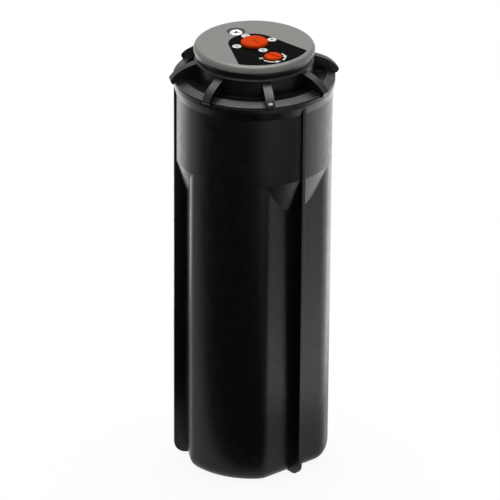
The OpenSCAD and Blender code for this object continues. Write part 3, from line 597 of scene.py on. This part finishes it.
    def lay_flag(self, name, cloth, centre, sides):
        """A dark sheet on the floor near the can, which only reflections show."""
        shape = bmesh.new()
        bmesh.ops.create_grid(shape, x_segments=2, y_segments=2, size=0.5)
        bmesh.ops.scale(shape, vec=(*sides, 1), verts=shape.verts)
        turn = Matrix.Rotation(self.studio.camera_azimuth, 4, "Z")
        place = turn @ Matrix.Translation((*centre, 1 * MM))
        bmesh.ops.transform(shape, verts=shape.verts, matrix=place)
        flag = piece_from(name, shape)
        flag.data.materials.append(cloth)
        flag.visible_camera = False
        flag.visible_diffuse = False
        flag.visible_transmission = False
        flag.visible_shadow = False


class SPRINKLER_OT_black_mouldings(SprinklerStep):
    """Black grained plastic of the can, collar nut, riser and turret"""

    bl_idname = "sprinkler.black_mouldings"
    bl_label = "Black mouldings"

    def execute(self, context):
        black = self.colours.black_plastic
        material = moulded_plastic("black_plastic", black, gloss=0.34, shine=0.25, grain=0.02 * MM)
        dress(BLACK_MOULDINGS, material)
        return {"FINISHED"}


class SPRINKLER_OT_rubber_parts(SprinklerStep):
    """Soft black rubber of the wiper and the seal rings"""

    bl_idname = "sprinkler.rubber_parts"
    bl_label = "Rubber parts"

    def execute(self, context):
        black = self.colours.black_rubber
        material = moulded_plastic("black_rubber", black, gloss=0.55, shine=0.1, grain=0.03 * MM)
        dress(RUBBER_PARTS, material)
        return {"FINISHED"}


class SPRINKLER_OT_cover(SprinklerStep):
    """Grey cover and its glossy black panel"""

    bl_idname = "sprinkler.cover"
    bl_label = "Cover and panel"

    def execute(self, context):
        colours = self.colours
        cover = moulded_plastic(
            "cover_grey", colours.cover_grey,
            gloss=0.36, shine=0.3, grain=0.015 * MM, edge=0.2 * MM, shift=0.03,
        )
        dress(("turret_cover",), cover)
        panel = moulded_plastic(
            "panel_black", colours.panel_black, gloss=0.18, shine=0.004, grain=0.002 * MM, edge=0.1 * MM,
        )
        dress(("control_panel",), panel)
        return {"FINISHED"}


class SPRINKLER_OT_orange_parts(SprinklerStep):
    """Orange plastic of the two knobs and the nozzles"""

    bl_idname = "sprinkler.orange_parts"
    bl_label = "Orange parts"

    def execute(self, context):
        orange = self.colours.knob_orange
        material = moulded_plastic(
            "knob_orange", orange, gloss=0.38, shine=0.012, grain=0.01 * MM, edge=0.15 * MM, shift=0.05,
        )
        dress(ORANGE_PARTS, material)
        return {"FINISHED"}


class SPRINKLER_OT_inner_plastics(SprinklerStep):
    """Pale, grey and filter plastics of the drive inside"""

    bl_idname = "sprinkler.inner_plastics"
    bl_label = "Inner plastics"

    def execute(self, context):
        colours = self.colours
        pale = moulded_plastic(
            "natural_plastic", colours.pale_plastic, gloss=0.4, shine=0.45, grain=0.01 * MM, edge=0.1 * MM,
        )
        dress(PALE_PLASTICS, pale)
        grey = moulded_plastic(
            "clutch_grey", colours.clutch_grey, gloss=0.5, shine=0.4, grain=0.015 * MM, edge=0.1 * MM,
        )
        dress(GREY_PARTS, grey)
        sieve = moulded_plastic(
            "filter_orange", colours.filter_orange, gloss=0.42, shine=0.4, grain=0.01 * MM,
        )
        dress(("filter_basket",), sieve)
        return {"FINISHED"}


class SPRINKLER_OT_steel_parts(SprinklerStep):
    """Steel of the shafts, clips and washer"""

    bl_idname = "sprinkler.steel_parts"
    bl_label = "Steel parts"

    def execute(self, context):
        dress(STEEL_PARTS, polished_metal("shaft_steel", self.colours.screw_steel, 0.3, 0.004 * MM))
        return {"FINISHED"}


class SPRINKLER_OT_springs(SprinklerStep):
    """Round-wire retract and bypass springs with closed ends"""

    bl_idname = "sprinkler.springs"
    bl_label = "Springs"

    def execute(self, context):
        sizes = self.sizes
        steel = polished_metal("spring_steel", self.colours.spring_steel, 0.32, 0.003 * MM)
        retract = (sizes.retract_wire, sizes.retract_turns, 64)
        bypass = (sizes.bypass_wire, sizes.bypass_turns, 40)
        springs = (
            ("retract_spring", "retract_coil", "can", "riser_slide", retract),
            ("bypass_spring", "bypass_coil", "riser", "bypass_lift", bypass),
        )
        for node, name, body, joint, (wire, turns, steps) in springs:
            low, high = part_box(node)
            shape = bmesh.new()
            coil(shape, high.x - wire / 2, wire, low.z, high.z, turns, steps)
            piece = piece_from(name, shape)
            piece.data.materials.append(steel)
            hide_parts(node)
            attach(piece, body)
            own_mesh(piece)
        return {"FINISHED"}


class SPRINKLER_OT_inlet_thread(SprinklerStep):
    """Pipe thread in the inlet socket"""

    bl_idname = "sprinkler.inlet_thread"
    bl_label = "Inlet thread"

    def execute(self, context):
        sizes = self.sizes
        mount = next(m for m in frame["record"]["mounts"] if m["name"] == "inlet")
        radius = mount["dims"]["r_mm"] * MM
        depth = mount["dims"]["length_mm"] * MM
        pitch = sizes.thread_pitch
        steps = 72
        lead_in = 1 * MM
        root = radius + 0.1 * MM
        crest = radius - sizes.thread_height
        profile = ((root, 0), (crest, pitch * 0.4), (crest, pitch * 0.55), (root, pitch * 0.95))
        shape = bmesh.new()
        corners = [shape.verts.new((r, 0, z + lead_in)) for r, z in profile]
        face = shape.faces.new(corners)
        turns = int((depth - 2 * lead_in) / pitch)
        bmesh.ops.spin(
            shape, geom=[face], cent=(0, 0, 0), axis=(0, 0, 1), dvec=(0, 0, pitch / steps),
            angle=turns * math.tau, steps=turns * steps,
        )
        piece = piece_from("inlet_thread", shape)
        piece.data.materials.append(bpy.data.materials["black_plastic"])
        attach(piece, "can")
        return {"FINISHED"}


class SPRINKLER_OT_jet_screw(SprinklerStep):
    """Pan-head jet screw with a cross recess and a conical tip"""

    bl_idname = "sprinkler.jet_screw"
    bl_label = "Jet screw"

    def execute(self, context):
        sizes = self.sizes
        low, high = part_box("jet_screw")
        centre = node_centre("jet_screw")
        head = (high.x - low.x) / 2
        stem = 1.6 * MM
        tip = 0.7 * MM
        taper = 1.4 * MM
        chamfer = 0.2 * MM
        edge = sizes.screw_edge
        seat = high.z - 2.2 * MM
        rounding = [(math.sin(a), math.cos(a)) for a in (math.radians(15 * k) for k in range(7))]
        outline = [(0, high.z)]
        outline += [(head - edge + edge * s, high.z - edge + edge * c) for s, c in rounding]
        outline += [(head, seat + chamfer), (head - chamfer, seat), (stem, seat)]
        outline += [(stem, low.z + taper), (tip, low.z), (0, low.z)]
        shape = bmesh.new()
        turned(shape, outline, 48)
        bmesh.ops.translate(shape, verts=shape.verts, vec=centre)
        piece = piece_from("jet_screw_driven", shape)
        self.cut_cross(piece, centre, high.z, sizes)
        bright = polished_metal("screw_steel", self.colours.screw_steel, 0.26, 0.002 * MM)
        # The second material is near-black steel: painted shade for the cross recess, not a finish of the
        # screw.
        recess_shade = polished_metal("recess_painted_shade", (0.05, 0.05, 0.05), 0.5, 0.004 * MM)
        piece.data.materials.append(bright)
        piece.data.materials.append(recess_shade)
        self.paint_recess_shade(piece, centre, high.z, sizes)
        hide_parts("jet_screw")
        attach(piece, "jet_breaker")
        return {"FINISHED"}

    def paint_recess_shade(self, piece, centre, top, sizes):
        """Gives the walls and the bottom of the cross the second material, a near-black steel that is
        painted shade in the recess.
        """
        reach = sizes.cross_length * 0.56
        deepest = top - 1.6 * MM
        rim = top - 0.05 * MM
        for face in piece.data.polygons:
            across = (face.center.xy - centre.xy).length
            if across < reach and deepest < face.center.z < rim:
                face.material_index = 1

    def cut_cross(self, piece, centre, top, sizes):
        """Sinks the cross into the head with a boolean, and keeps the result."""
        depth = 1.4 * MM
        narrowing = 0.55
        shape = bmesh.new()
        for turn in (45, 135):
            arm = Matrix.Translation(centre + Vector((0, 0, top)))
            arm = arm @ turret_matrix() @ Matrix.Rotation(math.radians(turn), 4, "Z")
            arm = arm @ Matrix.Diagonal((sizes.cross_length, sizes.cross_width, 2 * depth, 1))
            bar = bmesh.ops.create_cube(shape, size=1, matrix=arm)
            feet = [v for v in bar["verts"] if v.co.z < top]
            bmesh.ops.scale(
                shape, verts=feet, vec=(narrowing, narrowing, 1), space=Matrix.Translation(-centre),
            )
        cutter = piece_from("cross_cutter", shape)
        cut = piece.modifiers.new("cross", "BOOLEAN")
        cut.object = cutter
        cut.solver = "EXACT"
        cut.use_self = True
        depsgraph = bpy.context.evaluated_depsgraph_get()
        drilled = bpy.data.meshes.new_from_object(piece.evaluated_get(depsgraph))
        piece.modifiers.clear()
        piece.data = drilled
        bpy.data.objects.remove(cutter)


class SPRINKLER_OT_dial(SprinklerStep):
    """Four white dots with numbers round the selector"""

    bl_idname = "sprinkler.dial"
    bl_label = "Nozzle dial"

    def execute(self, context):
        sizes = self.sizes
        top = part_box("control_panel")[1].z
        dots = bmesh.new()
        for k in range(4):
            place = self.dot_place(k, sizes, top - PRINT_SINK)
            ring = bmesh.ops.create_circle(
                dots, cap_ends=True, radius=sizes.dot_diameter / 2, segments=40, matrix=place,
            )
            raise_faces(dots, faces_of(ring), sizes.print_thickness + PRINT_SINK)
        dial = piece_from("dial_dots", dots)
        dial.data.materials.append(print_ink("print_white", self.colours.print_white))
        digits = bmesh.new()
        for k in range(4):
            place = self.dot_place(k, sizes, top + sizes.print_thickness)
            self.add_digit(digits, str(k + 1), place, sizes)
        numbers = piece_from("dial_numbers", digits)
        numbers.data.materials.append(print_ink("print_black", (0.01, 0.01, 0.01)))
        for piece, slot in ((dial, "cover_grey"), (numbers, "panel_black")):
            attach(piece, "turret")
        return {"FINISHED"}

    def dot_place(self, k, sizes, height):
        """Where a dot lies, with its number's foot towards the panel's wide end."""
        turn = Matrix.Rotation(sizes.dial_turn + k * math.pi / 2, 4, "Z")
        out = turn @ Vector((sizes.dial_radius, 0, 0))
        upright = Matrix.Rotation(-math.pi / 2, 4, "Z")
        return turret_matrix() @ Matrix.Translation((out.x, out.y, height)) @ upright

    def add_digit(self, shape, text, place, sizes):
        """Adds one number, as a thin print, to a bmesh."""
        data = bpy.data.curves.new("digit", "FONT")
        data.body = text
        data.size = sizes.digit_height
        data.align_x = "CENTER"
        data.align_y = "CENTER"
        data.extrude = DIGIT_DEPTH
        data.offset = DIGIT_WEIGHT
        letter = bpy.data.objects.new("digit", data)
        bpy.context.scene.collection.objects.link(letter)
        mesh = bpy.data.meshes.new_from_object(letter)
        mesh.transform(place)
        shape.from_mesh(mesh)
        bpy.data.objects.remove(letter)


class SPRINKLER_OT_sector_marks(SprinklerStep):
    """White arcs, arrow heads and a cross round the sector knob"""

    bl_idname = "sprinkler.sector_marks"
    bl_label = "Sector marks"

    def execute(self, context):
        sizes = self.sizes
        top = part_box("control_panel")[1].z - PRINT_SINK
        thick = sizes.print_thickness + PRINT_SINK
        shape = bmesh.new()
        for start, end in SECTOR_ARCS:
            self.add_arc(shape, start, end, thick, sizes)
        for base, tip in SECTOR_HEADS:
            self.add_head(shape, base, tip, thick, sizes)
        for turn in (45, 135):
            self.add_bar(shape, turn, thick, sizes)
        centre = Matrix.Translation(node_centre("sector_knob") + Vector((0, 0, top)))
        bmesh.ops.transform(shape, verts=shape.verts, matrix=centre @ turret_matrix())
        marks = piece_from("sector_marks", shape)
        marks.data.materials.append(bpy.data.materials["print_white"])
        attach(marks, "turret")
        return {"FINISHED"}

    def add_arc(self, shape, start, end, thick, sizes):
        """A flat arc about the knob, from one angle to another in degrees."""
        half = sizes.sector_mark_width / 2
        turn = Matrix.Rotation(math.radians(start), 3, "Z")
        ends = (sizes.sector_mark_radius - half, sizes.sector_mark_radius + half)
        corners = [shape.verts.new(turn @ Vector((r, 0, 0))) for r in ends]
        edge = shape.edges.new(corners)
        known = set(shape.faces)
        bmesh.ops.spin(
            shape, geom=[edge], cent=(0, 0, 0), axis=(0, 0, 1), dvec=(0, 0, 0),
            angle=math.radians(end - start), steps=16,
        )
        swept = [face for face in shape.faces if face not in known]
        raise_faces(shape, swept, thick)

    def add_head(self, shape, base, tip, thick, sizes):
        """An arrow head along the circle of the marks."""
        r = sizes.sector_mark_radius
        wing = sizes.sector_mark_width * 1.35
        points = ((r - wing, base), (r + wing, base), (r * 1.02, tip))
        corners = []
        for distance, angle in points:
            turn = Matrix.Rotation(math.radians(angle), 3, "Z")
            corners.append(shape.verts.new(turn @ Vector((distance, 0, 0))))
        face = shape.faces.new(corners)
        raise_faces(shape, [face], thick)

    def add_bar(self, shape, turn, thick, sizes):
        """One bar of the cross."""
        place = Matrix.Rotation(math.radians(CROSS_BEARING), 4, "Z")
        place = place @ Matrix.Translation((sizes.sector_mark_radius, 0, thick / 2))
        place = place @ Matrix.Rotation(math.radians(turn), 4, "Z")
        place = place @ Matrix.Diagonal((*CROSS_BAR, thick, 1))
        bmesh.ops.create_cube(shape, size=1, matrix=place)


class SPRINKLER_OT_painted_glint_dot(SprinklerStep):
    """Pale dot on the back of one lug of the collar nut, a painted highlight of the lug's rounded toe"""

    bl_idname = "sprinkler.index_dot"
    bl_label = "Painted glint dot"

    def execute(self, context):
        sizes = self.sizes
        thickness = 0.15 * MM
        sink = 0.1 * MM
        flatness = 0.55
        outside = 100 * MM
        out = Matrix.Rotation(sizes.glint_bearing, 3, "Z") @ Vector((1, 0, 0))
        start = out * outside + Vector((0, 0, sizes.glint_height))
        hit, place, normal = NODES["collar_nut"].ray_cast(start, -out)[:3]
        if not hit:
            raise RuntimeError("the painted glint dot found no lug")
        lie = Matrix.Translation(place) @ normal.to_track_quat("Z", "Y").to_matrix().to_4x4()
        lie = lie @ Matrix.Diagonal((1, flatness, 1, 1)) @ Matrix.Translation((0, 0, -sink))
        shape = bmesh.new()
        ring = bmesh.ops.create_circle(shape, cap_ends=True, radius=sizes.glint_width / 2, segments=32)
        raise_faces(shape, faces_of(ring), thickness)
        bmesh.ops.transform(shape, verts=shape.verts, matrix=lie)
        # The print-white disc paints the highlight of the lug's rounded toe.
        dot = piece_from("index_dot", shape)
        dot.data.materials.append(bpy.data.materials["print_white"])
        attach(dot, "can")
        return {"FINISHED"}


class SPRINKLER_PT_steps(bpy.types.Panel):
    """Steps that build the sprinkler's looks"""

    bl_idname = "SPRINKLER_PT_steps"
    bl_label = "Pop-up sprinkler"
    bl_space_type = "VIEW_3D"
    bl_region_type = "UI"
    bl_category = "Sprinkler"

    def draw(self, context):
        for step in STEPS:
            self.layout.operator(step.bl_idname)


SETTINGS = (SprinklerSizes, SprinklerColours, SprinklerStudio)
STEPS = (
    SPRINKLER_OT_studio,
    SPRINKLER_OT_black_mouldings,
    SPRINKLER_OT_rubber_parts,
    SPRINKLER_OT_cover,
    SPRINKLER_OT_orange_parts,
    SPRINKLER_OT_inner_plastics,
    SPRINKLER_OT_steel_parts,
    SPRINKLER_OT_springs,
    SPRINKLER_OT_inlet_thread,
    SPRINKLER_OT_jet_screw,
    SPRINKLER_OT_dial,
    SPRINKLER_OT_sector_marks,
    SPRINKLER_OT_painted_glint_dot,
)


def register():
    """Registers the settings, the steps and the panel."""
    for item in SETTINGS + STEPS + (SPRINKLER_PT_steps,):
        bpy.utils.register_class(item)
    bpy.types.Scene.sprinkler_sizes = PointerProperty(type=SprinklerSizes)
    bpy.types.Scene.sprinkler_colours = PointerProperty(type=SprinklerColours)
    bpy.types.Scene.sprinkler_studio = PointerProperty(type=SprinklerStudio)


def unregister():
    """Takes all of them out again."""
    del bpy.types.Scene.sprinkler_studio
    del bpy.types.Scene.sprinkler_colours
    del bpy.types.Scene.sprinkler_sizes
    for item in reversed(SETTINGS + STEPS + (SPRINKLER_PT_steps,)):
        bpy.utils.unregister_class(item)


def main():
    """Runs every step in order."""
    register()
    context = bpy.context
    context.scene.view_settings.view_transform = "Standard"
    for step in STEPS:
        group, name = step.bl_idname.split(".")
        getattr(getattr(bpy.ops, group), name)()


if __name__ == "__main__":
    main()
